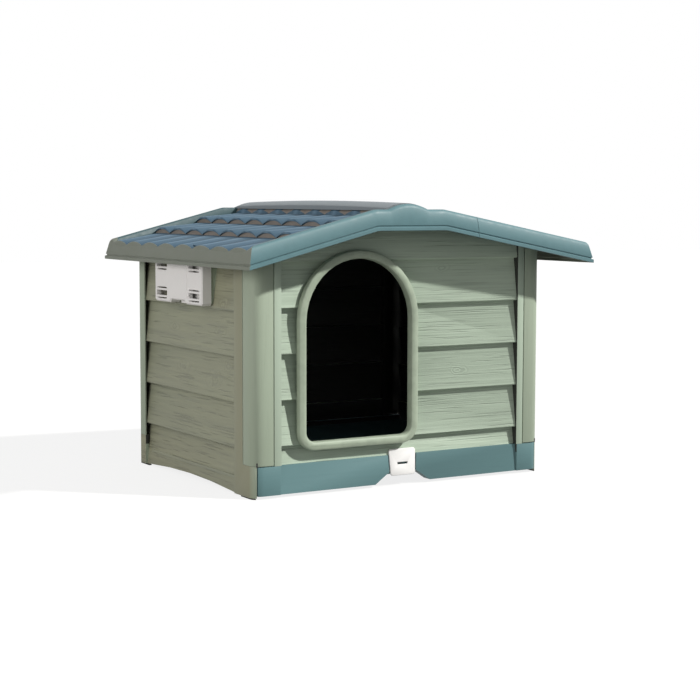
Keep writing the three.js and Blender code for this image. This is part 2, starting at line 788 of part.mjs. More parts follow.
function rightRoof() {
  const start = roof.seamX + roof.seamGap / 2;
  const starts = courseStarts(start, tileEnd, field.rightCourses - 1);
  const slope = courseLine(starts, 1, field.sideDrop);
  slope[0] = [start, valley(start) - field.sideDrop, field.crestLow, 0];
  const shell = tileShell(slope, shellHalf);
  const under = (x) => valley(x) - roof.wall - field.lipGap;
  const inner = roof.seamX - field.lip;
  const lip = tileShell([
    [inner, under(inner), seamCrest(inner)],
    [roof.seamX - 0.5, under(roof.seamX), field.crestHigh],
    [start + 1, under(roof.seamX), field.crestHigh],
    [start + 3, valley(start) - field.sideDrop, field.crestLow],
    [start + 6, valley(start + 6) - field.sideDrop, field.crestLow],
  ], shellHalf - 2 * field.vergeLap);
  return join(shell, lip, rim(1, start), backing(-1, start), backing(1, start));
}

// The tongue of the right moulding that lies behind the seam between the two verges, at the
// front (end -1) or the rear (end 1).
function backing(end, start) {
  const t = roof.wall;
  const { reach, thickness } = seamTongue;
  const top = roof.fasciaHeight - t;
  const inner = roof.dripGroove + t;
  const loops = [
    [roof.seamX - reach, 1], [start + 1, 1], [start + 3, -1], [start + reach, -1],
  ].map(([x, gap]) => {
    const outside = [
      [t, 1], [t, roof.drip - 1], [inner, roof.drip + 0.5], [inner, roof.drip + roof.dripGroove],
      [11.5, top - 6.5], [14, top - 1],
    ].map(([inset, dz]) => [inset + gap, dz]);
    const ceiling = top - gap;
    const section = [
      ...outside, [18, ceiling], [20.5, ceiling], [20.5, ceiling - thickness],
      [18.5, ceiling - thickness],
      ...outside.slice(0, 5).reverse().map(([inset, dz]) => [inset + thickness, dz]),
    ];
    return section.map(([inset, dz]) => [x, end * (roof.depth / 2 - inset), flangeHeight(x) + dz]);
  });
  return loft(loops, ([, y, z]) => [y, z]);
}

// ---------------------------------------------------------------- ridge cap
function ridgeCap() {
  const half = roof.depth / 2 - roof.vergeWidth - seat;
  const stations = 10;
  const outer = (y) => {
    const lift = ridge.crown * (1 - (y / half) ** 2);
    const points = [[-ridge.halfWidth + 1, plateau + seat]];
    for (let i = 0; i <= ridge.steps; i++) {
      const t = (2 * i) / ridge.steps - 1;
      const x = t * (ridge.halfWidth - 1);
      points.push([x, plateau + ridge.skirtHeight + lift + ridge.arc * (1 - t * t)]);
    }
    points.push([ridge.halfWidth - 1, plateau + seat]);
    return points;
  };
  const loops = [];
  for (let i = 0; i <= stations; i++) {
    const y = half * ((2 * i) / stations - 1);
    const points = outer(y);
    const inner = points.map(([x, z], k) => {
      const edge = k === 0 || k === points.length - 1;
      const inset = (Math.abs(x) - ridge.wall) / Math.abs(x || 1);
      const atSide = Math.abs(x) > ridge.halfWidth - 2;
      return [atSide ? x * inset : x, edge ? z : z - ridge.wall];
    });
    loops.push([...points, ...inner.reverse()].map(([x, z]) => [ridge.centreX + x, y, z]));
  }
  return loft(loops, ([x, , z]) => [x, z]);
}

// ---------------------------------------------------------------- side vents (left one)
function ventHousing() {
  const [y0, y1] = [vent.centreY - vent.length / 2, vent.centreY + vent.length / 2];
  const cornerCut = vent.cornerCut;
  const b = vent.bevel;
  const notchHalf = vent.notchLength / 2;
  const outline = [
    [y0 + cornerCut, ventBottom + b], [vent.centreY - notchHalf - vent.notchFlank, ventBottom + b],
    [vent.centreY - notchHalf, ventBottom + b + vent.notchHeight],
    [vent.centreY + notchHalf, ventBottom + b + vent.notchHeight],
    [vent.centreY + notchHalf + vent.notchFlank, ventBottom + b], [y1 - cornerCut, ventBottom + b],
    [y1 - b, ventBottom + cornerCut], [y1 - b, ventTop - cornerCut],
    [y1 - cornerCut, ventTop - b], [y0 + cornerCut, ventTop - b],
    [y0 + b, ventTop - cornerCut], [y0 + b, ventBottom + cornerCut],
  ];
  const face = left - vent.depth;
  const shell = prism(outline, "x", face + b, left + b, {
    bevelEnabled: true, bevelThickness: b, bevelSize: b, bevelSegments: 1,
  });
  const clear = box(left - seat, left + 10, y0 - 10, y1 + 10, ventBottom - 10, ventTop + 10);
  const w = vent.wall;
  const hollow = box(
    face + w + vent.plateProud, left + 1, y0 + w + 0.5, y1 - w - 0.5,
    ventBottom + w + vent.notchHeight + 1.5, ventTop - w,
  );
  const lowerHollow = [
    box(face + w + b, left + 1, y0 + w + 0.5, vent.centreY - notchHalf - 8, ventBottom + w, ventTop - w),
    box(face + w + b, left + 1, vent.centreY + notchHalf + 8, y1 - w - 0.5, ventBottom + w, ventTop - w),
  ];
  const lugSlot = box(
    left - shutter.lugDepth - 3, left + 1, vent.centreY - notchHalf + 1, vent.centreY + notchHalf - 1,
    ventBottom - 1, ventBottom + w + vent.notchHeight + 4,
  );
  const plate = box(
    face - vent.plateProud, face + 1, vent.centreY - vent.plateLength / 2,
    vent.centreY + vent.plateLength / 2, ventBottom + 14, ventTop - 4,
  );
  const hollowed = cut(shell, clear, hollow, ...lowerHollow, lugSlot);
  return cut(join(hollowed, plate, ...windowBlocks(face)), ...windowSlots(face));
}

// Calls make(y, z) for the middle of each of the four windows.
function eachWindow(make) {
  return [-1, 1].flatMap((side) =>
    windowRows.map((z) => make(vent.centreY + side * vent.windowOffset, z)));
}

// A block round each window, which leaves the opening its depth.
function windowBlocks(face) {
  const halfY = vent.windowLength / 2 + vent.windowWall;
  const halfZ = vent.windowHeight / 2 + vent.windowWall;
  return eachWindow((y, z) =>
    box(face + 1, face + vent.windowDepth, y - halfY, y + halfY, z - halfZ, z + halfZ));
}

// Each window is a round-cornered opening that two bars cross.
function windowSlots(face) {
  const barBack = face + vent.windowDepth / 2;
  const [halfY, halfZ, r] = [vent.windowLength / 2, vent.windowHeight / 2, vent.windowRadius];
  return eachWindow((y, z) => {
    const shape = new THREE.Shape();
    shape.absarc(y + halfY - r, z + halfZ - r, r, 0, Math.PI / 2);
    shape.absarc(y - halfY + r, z + halfZ - r, r, Math.PI / 2, Math.PI);
    shape.absarc(y - halfY + r, z - halfZ + r, r, Math.PI, 1.5 * Math.PI);
    shape.absarc(y + halfY - r, z - halfZ + r, r, 1.5 * Math.PI, 2 * Math.PI);
    const opening = prism(shape, "x", face - 5, face + vent.windowDepth + 1, { curveSegments: 3 });
    const bars = [-1, 1].map((side) => {
      const middle = z + side * vent.barOffset;
      return box(
        face - 6, barBack, y - halfY - 1, y + halfY + 1, middle - vent.bar / 2,
        middle + vent.bar / 2,
      );
    });
    return cut(opening, ...bars);
  });
}

function ventShutter() {
  const inside = vent.length - 2 * (vent.wall + 1);
  const length = inside - shutter.travel - 2;
  const y0 = vent.centreY - inside / 2 + 1;
  const x1 = left - seat;
  const x0 = x1 - shutter.thickness;
  const bottom = ventBottom + vent.notchHeight + vent.wall + 2;
  const plate = box(x0, x1, y0, y0 + length, bottom, ventTop - vent.wall - 1);
  const lugY = vent.centreY - vent.notchLength / 2 + 3;
  const lug = box(
    x1 - shutter.lugDepth, x1, lugY, lugY + shutter.lugLength, bottom - shutter.lugHeight, bottom + 3,
  );
  const grooves = [0, 1, 2, 3].map((i) => {
    const y = lugY + 8 + i * 7.5;
    return box(x1 - shutter.lugDepth - 1, x1 - shutter.lugDepth + 1.2, y, y + 2.5, bottom - 8, bottom - 1);
  });
  return cut(join(plate, lug), ...grooves, ...airHoles(x0 - 1, x1 + 1));
}

// ---------------------------------------------------------------- foot pads (front left)
function footPad() {
  const solid = band(pad.width, 0, pad.height - seat);
  const corner = box(
    left + pad.inset, left + boot.front - pad.inset, front - 1, front + pad.length, -1, pad.height,
  );
  return solid.intersect(corner);
}

// ---------------------------------------------------------------- assembly
place("base_tray", floorTray(), "teal");
place("front_wall", frontWall(), "sage");
place("rear_wall", mirrorY(gableWall()), "sage");
place("left_wall", leftWall(), "sage");
place("right_wall", mirrorX(leftWall()), "sage");
place("door_surround", doorRing(), "sage");
place("front_left_post", cornerPost(), "sage");
place("front_right_post", mirrorX(cornerPost()), "sage");
place("rear_left_post", mirrorY(cornerPost()), "sage");
place("rear_right_post", mirrorX(mirrorY(cornerPost())), "sage");
place("left_roof_panel", leftRoof(), "tile");
place("right_roof_panel", rightRoof(), "tile");
place("ridge_cap", ridgeCap(), "tile");
place("left_vent_housing", ventHousing(), "white");
place("right_vent_housing", mirrorX(ventHousing()), "white");
place("left_vent_shutter", ventShutter(), "white");
place("right_vent_shutter", mirrorX(ventShutter()), "white");
place("front_latch", frontLatch(), "white");
place("latch_pin", latchPin(), "pin");
place("front_left_foot_pad", footPad(), "rubber");
place("front_right_foot_pad", mirrorX(footPad()), "rubber");
place("rear_left_foot_pad", mirrorY(footPad()), "rubber");
place("rear_right_foot_pad", mirrorX(mirrorY(footPad())), "rubber");

export default group;
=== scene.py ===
"""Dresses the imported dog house: materials, finer roof mouldings, rounded edges, light and camera."""

import math

import bmesh
import bpy
from mathutils import Matrix, Vector


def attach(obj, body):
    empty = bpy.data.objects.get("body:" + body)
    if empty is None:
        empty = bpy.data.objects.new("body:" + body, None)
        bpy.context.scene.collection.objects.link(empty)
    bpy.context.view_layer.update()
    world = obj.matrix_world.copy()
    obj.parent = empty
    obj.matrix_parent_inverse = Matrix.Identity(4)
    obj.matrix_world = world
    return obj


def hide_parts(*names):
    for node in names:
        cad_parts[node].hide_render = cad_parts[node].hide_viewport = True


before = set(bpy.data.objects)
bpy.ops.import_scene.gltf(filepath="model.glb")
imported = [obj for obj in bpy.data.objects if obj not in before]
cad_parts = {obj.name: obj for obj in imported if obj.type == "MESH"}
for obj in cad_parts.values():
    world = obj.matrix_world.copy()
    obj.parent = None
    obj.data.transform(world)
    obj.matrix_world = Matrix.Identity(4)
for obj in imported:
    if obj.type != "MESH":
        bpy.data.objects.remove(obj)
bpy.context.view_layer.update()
MM = 0.001
ENDS = {"front": -1, "rear": 1}
SIDES = {"left": -1, "right": 1}

# ---------------------------------------------------------------- sizes, in millimetres
# The house: the middle of its cabin, where the boards of its walls end, and its corners.
HOUSE_MIDDLE = (-22.5, 0.0, 300.0)
FLOOR_LOW = 50.0
GABLE_BOARDS_HALF = 308.5
FLANK_BOARDS_FRONT = -210.0
POST_LEGS = (("X", 350.0), ("Y", 275.0))
REBATE_SIZE = (18.5, 2.8, 9.0)
REBATE_OUT = (356.75, 293.8)
REBATE_Z = 73.6

# Radii of the mouldings' edges. The vent housings' edges are left to their material.
WALL_EDGE = 0.8
LATCH_EDGE = 1.2
SHUTTER_EDGE = 0.5
PAD_EDGE = 0.6
NO_EDGE = 0.0

# The roof's outline, its folds, and the seam between its two mouldings.
ROOF_HALF_X = 445.0
ROOF_HALF_Y = 375.0
EAVE = 487.0
RIDGE_RISE = 77.5
FOLD_LEFT = -138.0
FOLD_RIGHT = 38.0
FOLD_SOFT = 3.0
SEAM_X = 123.0
SEAM_GAP = 1.0
LEFT_END = SEAM_X - SEAM_GAP / 2
RIGHT_START = SEAM_X + SEAM_GAP / 2
SIDE_DROP = 4.0
SKIN = 3.5

# The rim: the front and rear verges with their swelling at the ridge, and the lips of the eaves.
FASCIA_HEIGHT = 45.0
VERGE = 26.0
VERGE_HANG = 2.0
BUMP = 12.0
BUMP_STEPS = 20
LIP_CLEAR = 1.0
LIP_END = 18.0

# The tiles, from the valley between two barrels up to the crest of one.
EAVE_X = ROOF_HALF_X - 9.0
EAVE_Z = EAVE + 36.0
RIDGE_Z = EAVE_Z + 73.0
PLATEAU = RIDGE_Z + 11.0
RIDGE_X = -54.0
RIDGE_HALF = 50.0
RIDGE_LEFT = RIDGE_X - RIDGE_HALF
RIDGE_RIGHT = RIDGE_X + RIDGE_HALF
SEAT_EDGE = 6.0
COURSES = 3
BARRELS = 8
BARREL_STEPS = 14
LEAST_STEP = 0.5
BARREL_PITCH = 2 * (ROOF_HALF_Y - VERGE + 4.0) / BARRELS
TILES_HALF_Y = ROOF_HALF_Y - VERGE + 2.0
CREST_LOW = 0.5
CREST_HIGH = 14.0
CREST_EAVE = 9.0
CREST_CAP = 9.0
RISER_RUN = 2.0
EDGE_LIFT = 2.2
RECESS = 3.5

# The two drain slots near the left eave: their place and their half width and length.
DRAIN_X = -424.0
DRAIN_Y = 82.0
DRAIN_HALF_X = 3.5
DRAIN_HALF_Y = 13.0
DRAIN_DEPTH = 60.0
DRAIN_SIDES = 24

# The lip of the right moulding under the left one's edge, and its tongues behind the fascias.
LIP_REACH = 20.0
LIP_HALF_Y = TILES_HALF_Y - 4.0
LIP_EDGE = 0.5
LIP_TOE = 1.0
LIP_FOOT = 3.0
LIP_TAIL = 6.0
TONGUE_REACH = 8.0
TONGUE_STEP = (1.5, 3.0)
TONGUE_WALL = 2.5
TONGUE_GAP = 1.0
TONGUE_FOOT = 1.0
TONGUE_TOP = 40.0

# The ridge cap.
CAP_HALF_X = RIDGE_HALF - 1.0
CAP_HALF_Y = ROOF_HALF_Y - VERGE - 0.3
CAP_FOOT = PLATEAU + 0.3
CAP_SHOULDER = PLATEAU + 5.0
CAP_CROWN = 11.0
CAP_ARCH = 4.6
CAP_WALL = 3.0
CAP_CHAMFER = (0.5, 0.8)
CAP_NARROWING = 0.96
CAP_STEPS = 20
CAP_STATIONS = 24

# ---------------------------------------------------------------- colours, as sRGB bytes
SAGE = (180, 196, 177)
SAGE_POST = (164, 177, 157)
# The side walls' darker, browner sage is painted shade: the sides turned from the light.
SAGE_SIDE_SHADE = (149, 150, 127)
# The cabin's inside, painted dark as shade.
CABIN_SHADE = (38, 40, 36)
TEAL = (94, 128, 131)
TILE = (68, 96, 115)
# Painted shade for the tiles' valleys and painted highlight for their crests.
TILE_VALLEY_SHADE = (44, 64, 78)
TILE_CREST_HIGHLIGHT = (122, 152, 174)
# The risers' warm grey paints the shaded look of the tiles' upright faces.
RISER_SHADE = (128, 121, 114)
FASCIA = (93, 128, 134)
FASCIA_SHADE = (42, 68, 72)
LIP = (117, 123, 112)
# The cap's own blue, greyed by a painted sky reflection.
CAP_AND_SKY_REFLECTION = (128, 136, 141)
WHITE = (246, 245, 244)
RUBBER = (34, 36, 31)
STEEL = (181, 184, 186)
FLOOR = (120, 120, 119)


def linear(color):
    """Linear RGBA of an sRGB colour given in bytes."""
    parts = [c / 255 for c in color]
    return tuple(p / 12.92 if p <= 0.04045 else ((p + 0.055) / 1.055) ** 2.4 for p in parts) + (1.0,)


def shifted(color, gain, lift=0.0):
    """A linear colour times gain and plus lift, held at white."""
    return tuple(min(1.0, lift + gain * c) for c in color[:3]) + (1.0,)


# ---------------------------------------------------------------- node trees
class Nodes:
    """A short way to build a material's node tree."""

    def __init__(self, name):
        self.material = bpy.data.materials.new(name)
        self.material.use_nodes = True
        self.tree = self.material.node_tree
        self.shader = self.tree.nodes["Principled BSDF"]

    def add(self, kind, inputs=None, **settings):
        node = self.tree.nodes.new(kind)
        for key, value in settings.items():
            setattr(node, key, value)
        for key, value in (inputs or {}).items():
            self.put(node.inputs[key], value)
        return node

    def put(self, socket, value):
        if isinstance(value, bpy.types.NodeSocket):
            self.tree.links.new(value, socket)
        else:
            socket.default_value = value

    def noise(self, vector, scale, detail=2.0, roughness=0.5, distortion=0.0):
        inputs = {
            "Vector": vector,
            "Scale": scale,
            "Detail": detail,
            "Roughness": roughness,
            "Distortion": distortion,
        }
        return self.add("ShaderNodeTexNoise", inputs).outputs["Fac"]

    def stretched(self, vector, scale, factor=1.0):
        scale = tuple(factor * s for s in scale)
        return self.add("ShaderNodeMapping", {"Vector": vector, "Scale": scale}).outputs["Vector"]

    def ranged(self, value, low, high, to_low, to_high):
        inputs = {
            "Value": value,
            "From Min": low,
            "From Max": high,
            "To Min": to_low,
            "To Max": to_high,
        }
        return self.add("ShaderNodeMapRange", inputs).outputs["Result"]

    def math(self, operation, a, b=0.0):
        return self.add("ShaderNodeMath", {0: a, 1: b}, operation=operation).outputs["Value"]

    def vector(self, operation, a, b):
        return self.add("ShaderNodeVectorMath", {0: a, 1: b}, operation=operation).outputs["Vector"]

    def dot(self, a, b):
        return self.add("ShaderNodeVectorMath", {0: a, 1: b}, operation="DOT_PRODUCT").outputs["Value"]

    def length(self, a):
        return self.add("ShaderNodeVectorMath", {0: a}, operation="LENGTH").outputs["Value"]

    def axis(self, vector, name):
        return self.add("ShaderNodeSeparateXYZ", {"Vector": vector}).outputs[name]

    def normal(self, kind="Normal"):
        return self.add("ShaderNodeNewGeometry").outputs[kind]

    def blend(self, factor, a, b):
        """From the number a at factor 0 to the number b at factor 1."""
        return self.add("ShaderNodeMix", {0: factor, 2: a, 3: b}).outputs[0]

    def mix(self, factor, a, b):
        """From the colour a at factor 0 to the colour b at factor 1."""
        return self.add("ShaderNodeMix", {0: factor, 6: a, 7: b}, data_type="RGBA").outputs[2]


# ---------------------------------------------------------------- moulded plastic
# The embossed wood, in heights from 0 to 1 and in lengths that are a knot's own radius.
WANDER_SCALE = 0.35
WANDER_SHARE = 0.25
CRACK_SCALE = 2.3
CRACK_EDGES = (0.30, 0.42)
SMOOTH_HEIGHT = 0.46
NO_KNOT_NEAR = 9.0
KNOT_WOBBLE_SCALE = 55.0
KNOT_WOBBLE = 2.4
KNOT_STRENGTH = 0.65
KNOT_HEART = 0.7
KNOT_RIM = 2.4
RING_RATE = 6.5
RING_HEIGHT = 0.42
RING_SWING = 0.22

# The finish: shades of the piece's own colour, worn edges and the sheen.
SHADE_GAIN = 0.74
TINT_GAIN = 1.16
DULL_GAIN = 0.88
DULL_SHARE = 0.30
WORN_GAIN = 0.5
WORN_LIFT = 0.5
WORN_RADIUS = 1.6
WORN_AGREEMENT = (0.80, 0.995)
STREAK_TONES = (0.30, 0.62)
STREAK_SHEEN = (0.3, 0.7)
SMOOTHER = 0.06
ROUGHER = 0.08
BLOTCH_SCALE = 5.0
BLOTCH_DULL = (0.42, 0.78)
BLOTCH_WORN = (0.35, 0.65)
LEAST_WORN = 0.5
MOST_WORN = 1.4
MOTTLE_SCALE = 60.0
PORE_SCALE = 900.0
PORE_HEIGHT = 0.30
BUMP_DISTANCE = 2.0
SHINE = 0.42
ROOF_SHINE = 0.30


def knot_distance(n, place, knots):
    """Distance to the nearest knot, where 1 is the knot's own radius."""
    nearest = NO_KNOT_NEAR
    for middle, radii in knots:
        offset = n.vector("SUBTRACT", place, middle)
        nearest = n.math("MINIMUM", nearest, n.length(n.vector("DIVIDE", offset, radii)))
    return nearest


def knotted(n, place, knots, height):
    """The streaks' height, with wobbling rings in their place at each knot."""
    wobble = n.math("SUBTRACT", n.noise(place, KNOT_WOBBLE_SCALE), 0.5)
    distance = n.math("ADD", knot_distance(n, place, knots), n.math("MULTIPLY", wobble, KNOT_WOBBLE))
    wave = n.math("SINE", n.math("MULTIPLY", distance, RING_RATE))
    rings = n.math("ADD", n.math("MULTIPLY", wave, RING_SWING), RING_HEIGHT)
    return n.blend(n.ranged(distance, KNOT_HEART, KNOT_RIM, KNOT_STRENGTH, 0.0), height, rings)


def wood_streaks(n, place, grain, knots):
    """Long streaks of embossed wood grain, with rings at the knots."""
    wander = n.noise(n.stretched(place, grain, WANDER_SCALE), 1.0)
    streaks = n.noise(n.stretched(place, grain), 1.0, detail=5.0, roughness=0.66, distortion=0.45)
    cracks = n.noise(n.stretched(place, grain, CRACK_SCALE), 1.0, distortion=0.2)
    broad = n.math("MULTIPLY", wander, WANDER_SHARE)
    fine = n.math("MULTIPLY", streaks, 1 - WANDER_SHARE)
    height = n.math("MULTIPLY", n.math("ADD", fine, broad), n.ranged(cracks, *CRACK_EDGES, 0.0, 1.0))
    return knotted(n, place, knots, height) if knots else height


def worn_edges(n, blotch, strength):
    """How far an edge is rubbed pale, more in one place than in another."""
    rounded = n.add("ShaderNodeBevel", {"Radius": WORN_RADIUS * MM}, samples=4).outputs["Normal"]
    edge = n.ranged(n.dot(rounded, n.normal()), *WORN_AGREEMENT, 1.0, 0.0)
    uneven = n.ranged(blotch, *BLOTCH_WORN, LEAST_WORN, MOST_WORN)
    return n.math("MULTIPLY", n.math("MULTIPLY", edge, strength), uneven)


def plastic(name, color, roughness, depth, contrast=0.4, grain=None, knots=(), boards=None,
            dress=None, inside=None, mask=None, wear=0.10, shine=SHINE, metallic=0.0):
    """Moulded plastic. depth is the strength of its relief and contrast that of its shades. grain is
    the scale of the embossed streaks along X, Y and Z in cycles per metre, or None for a fine even
    texture, and boards gives the part that has the grain. dress changes the colour by place, and for
    the tiles, the verges and the side walls it paints shade and highlight. inside is painted shade: a
    darker colour within the cabin, where mask says."""
    n = Nodes(name)
    place = n.add("ShaderNodeTexCoord").outputs["Object"]
    base = linear(color)
    if grain:
        streaks = wood_streaks(n, place, grain, knots)
        if boards:
            streaks = n.blend(boards(n, place), SMOOTH_HEIGHT, streaks)
        height = streaks
    else:
        streaks = n.noise(place, MOTTLE_SCALE, detail=3.0)
        height = n.math("MULTIPLY", n.noise(place, PORE_SCALE), PORE_HEIGHT)
    blotch = n.noise(place, BLOTCH_SCALE, detail=3.0, roughness=0.55, distortion=0.4)

    relief = n.ranged(streaks, *STREAK_TONES, 0.0, 1.0)
    tone = n.mix(relief, shifted(base, SHADE_GAIN), shifted(base, TINT_GAIN))
    even = n.mix(contrast, base, tone)
    finish = n.mix(n.ranged(blotch, *BLOTCH_DULL, 0.0, DULL_SHARE), even, shifted(base, DULL_GAIN))
    if dress:
        finish = dress(n, place, finish)
    finish = n.mix(worn_edges(n, blotch, wear), finish, shifted(base, WORN_GAIN, WORN_LIFT))
    # Painted shade within the cabin.
    if inside:
        finish = n.mix((mask or cabin_shade_mask)(n, place), finish, linear(inside))

    sheen = n.ranged(streaks, *STREAK_SHEEN, roughness - SMOOTHER, roughness + ROUGHER)
    n.put(n.shader.inputs["Base Color"], finish)
    n.put(n.shader.inputs["Roughness"], sheen)
    n.shader.inputs["Specular IOR Level"].default_value = shine
    n.shader.inputs["Metallic"].default_value = metallic
    bump_inputs = {"Height": height, "Strength": depth, "Distance": BUMP_DISTANCE * MM}
    n.put(n.shader.inputs["Normal"], n.add("ShaderNodeBump", bump_inputs).outputs["Normal"])
    return n.material


# ---------------------------------------------------------------- colour by place, with painted shade and highlight
CABIN_CENTRE = tuple(v * MM for v in HOUSE_MIDDLE)
FACES_CABIN = 0.05
FACES_ALONG = 0.3
PITCHES_ABOVE_ZERO = 20.0
VALLEY_FROM = 0.28
VALLEY_SHADE = 0.75
CREST_TO = 0.16
CREST_HIGHLIGHT = 0.45
BOOT_TURN = (0.1, 0.75)
VERGE_SHADE_SHARE = 0.85
VERGE_DARK = ROOF_HALF_Y - 21.0
VERGE_UNSHADED = ROOF_HALF_Y - 14.0


def tile_shade_and_highlight(n, place, color):
    """Painted shade in the valleys between the barrels and painted highlight on the crests. share is 0
    on a crest, 0.5 in a valley.
    """
    pitches = n.math("DIVIDE", n.axis(place, "Y"), BARREL_PITCH * MM)
    turn = n.math("FRACT", n.math("ADD", pitches, PITCHES_ABOVE_ZERO))
    share = n.math("ABSOLUTE", n.math("SUBTRACT", turn, 0.5))
    shaded = n.mix(n.ranged(share, VALLEY_FROM, 0.5, 0.0, VALLEY_SHADE), color, linear(TILE_VALLEY_SHADE))
    return n.mix(n.ranged(share, 0.0, CREST_TO, CREST_HIGHLIGHT, 0.0), shaded, linear(TILE_CREST_HIGHLIGHT))


def verge_shade(n, place, color):
    """Painted shade: darker on the inner slopes of the verges."""
    out = n.math("ABSOLUTE", n.axis(place, "Y"))
    shade_share = n.ranged(out, VERGE_DARK * MM, VERGE_UNSHADED * MM, VERGE_SHADE_SHARE, 0.0)
    return n.mix(shade_share, color, linear(FASCIA_SHADE))


def boot_turn_out_of_shade(n, place, color):
    """The posts' cooler colour where a boot turns to the front or the rear, in place of the side walls'
    painted shade.
    """
    turned = n.math("ABSOLUTE", n.axis(n.normal(), "Y"))
    return n.mix(n.ranged(turned, *BOOT_TURN, 0.0, 1.0), color, linear(SAGE_POST))


def gable_boards(n, place):
    """1 on the boards of the front and rear walls, 0 on their stiles."""
    out = n.math("ABSOLUTE", n.math("SUBTRACT", n.axis(place, "X"), CABIN_CENTRE[0]))
    return n.math("LESS_THAN", out, GABLE_BOARDS_HALF * MM)


def flank_boards(n, place):
    """1 on the boards of the side walls, 0 on their wide front stiles."""
    return n.math("GREATER_THAN", n.axis(place, "Y"), FLANK_BOARDS_FRONT * MM)


def cabin_shade_mask(n, place):
    """Where the cabin's painted shade goes: 1 on faces that look into the cabin and 0 elsewhere, from
    their place and direction.
    """
    level = n.vector("MULTIPLY", n.vector("SUBTRACT", CABIN_CENTRE, place), (1.0, 1.0, 0.0))
    inward = n.math("GREATER_THAN", n.dot(level, n.normal("True Normal")), FACES_CABIN)
    return n.math("MULTIPLY", inward, n.math("GREATER_THAN", n.axis(place, "Z"), FLOOR_LOW * MM))


def post_shade_mask(n, place):
    """As cabin_shade_mask, for the cabin's painted shade, but 0 on the end faces of a post's two legs,
    which show outside.
    """
    normal = n.normal("True Normal")
    offset = n.vector("SUBTRACT", place, CABIN_CENTRE)
    facing = []
    for axis, limit in POST_LEGS:
        beyond = n.math("GREATER_THAN", n.math("ABSOLUTE", n.axis(offset, axis)), limit * MM)
        facing.append(n.math("MULTIPLY", n.math("ABSOLUTE", n.axis(normal, axis)), beyond))
    hidden = n.math("GREATER_THAN", n.math("MAXIMUM", *facing), FACES_ALONG)
    return n.math("MULTIPLY", cabin_shade_mask(n, place), hidden)


# ---------------------------------------------------------------- the materials
# Grain in cycles per metre along X, Y and Z.
ALONG_X = (2.6, 50.0, 150.0)
ALONG_Y = (50.0, 3.6, 115.0)
ALONG_Z = (110.0, 110.0, 5.0)
DOWN_SLOPE = (9.0, 130.0, 40.0)

# Knots in metres, each with its middle and its radii. The radius of 1 m through the wall makes the
# depth hardly count.
FRONT_KNOTS = (
    ((0.127, -0.29, 0.248), (0.014, 1.0, 0.006)),
    ((0.087, -0.29, 0.479), (0.012, 1.0, 0.005)),
    ((-0.02, 0.29, 0.350), (0.014, 1.0, 0.006)),
)
SIDE_KNOTS = (
    ((-0.39, -0.100, 0.236), (1.0, 0.022, 0.012)),
    ((-0.39, -0.158, 0.270), (1.0, 0.012, 0.008)),
    ((-0.39, -0.150, 0.405), (1.0, 0.015, 0.009)),
    ((-0.39, 0.105, 0.340), (1.0, 0.014, 0.006)),
    ((0.345, 0.060, 0.250), (1.0, 0.022, 0.010)),
    ((0.345, -0.130, 0.345), (1.0, 0.016, 0.007)),
)
looks = {
    # inside= paints the cabin's shade into the walls, the posts and the base.
    "boards": plastic(
        "sage_boards", SAGE, roughness=0.58, depth=0.6, contrast=0.62, grain=ALONG_X,
        knots=FRONT_KNOTS, boards=gable_boards, inside=CABIN_SHADE,
    ),
    # The side walls carry painted shade in their colour.
    "side_boards": plastic(
        "sage_boards_side_shade", SAGE_SIDE_SHADE, roughness=0.58, depth=0.85, contrast=1.0, grain=ALONG_Y,
        knots=SIDE_KNOTS, boards=flank_boards, dress=boot_turn_out_of_shade, inside=CABIN_SHADE,
    ),
    "posts": plastic(
        "sage_posts", SAGE_POST, roughness=0.56, depth=0.16, contrast=0.12, grain=ALONG_Z,
        inside=CABIN_SHADE, mask=post_shade_mask,
    ),
    # The seam strips take the cabin's painted shade.
    "seam": plastic("seam_painted_shade", CABIN_SHADE, roughness=0.7, depth=0.10),
    "ring": plastic("sage_ring", SAGE_POST, roughness=0.50, depth=0.10),
    "base": plastic(
        "teal_base", TEAL, roughness=0.52, depth=0.10, contrast=0.10, grain=ALONG_X, inside=CABIN_SHADE
    ),
    # The tiles' dress paints shade in the valleys and highlight on the crests.
    "tile": plastic(
        "blue_tile", TILE, roughness=0.62, depth=0.25, contrast=0.5, grain=DOWN_SLOPE,
        dress=tile_shade_and_highlight, shine=ROOF_SHINE,
    ),
    # The risers' colour is painted shade.
    "riser": plastic("tile_riser_painted_shade", RISER_SHADE, roughness=0.62, depth=0.20),
    # The verges' dress paints shade on their inner slopes.
    "fascia": plastic(
        "teal_fascia", FASCIA, roughness=0.50, depth=0.12, contrast=0.15, dress=verge_shade
    ),
    "lip": plastic("grey_lip", LIP, roughness=0.55, depth=0.12, contrast=0.15),
    # The cap's colour holds a painted sky reflection.
    "cap": plastic(
        "ridge_cap", CAP_AND_SKY_REFLECTION, roughness=0.58, depth=0.14, contrast=0.3, grain=ALONG_Y, shine=ROOF_SHINE
    ),
    "white": plastic("white_trim", WHITE, roughness=0.55, depth=0.08, contrast=0.05, wear=0.03),
    "rubber": plastic("dark_rubber", RUBBER, roughness=0.85, depth=0.35),
    "steel": plastic("steel_pin", STEEL, roughness=0.30, depth=0.10, grain=ALONG_X, metallic=0.9),
}

# ---------------------------------------------------------------- pieces
# Creases in degrees, and how near two vertices of a CAD mesh are one.
CREASE = 32.0
TILE_CREASE = 35.0
RIM_CREASE = 40.0
FLAT = 0.6
SAME_PLACE = 0.01


def mesh_of(name, bm):
    mesh = bpy.data.meshes.new(name)
    bm.to_mesh(mesh)
    bm.free()
    return mesh


def linked(name, data):
    obj = bpy.data.objects.new(name, data)
    bpy.context.scene.collection.objects.link(obj)
    return obj


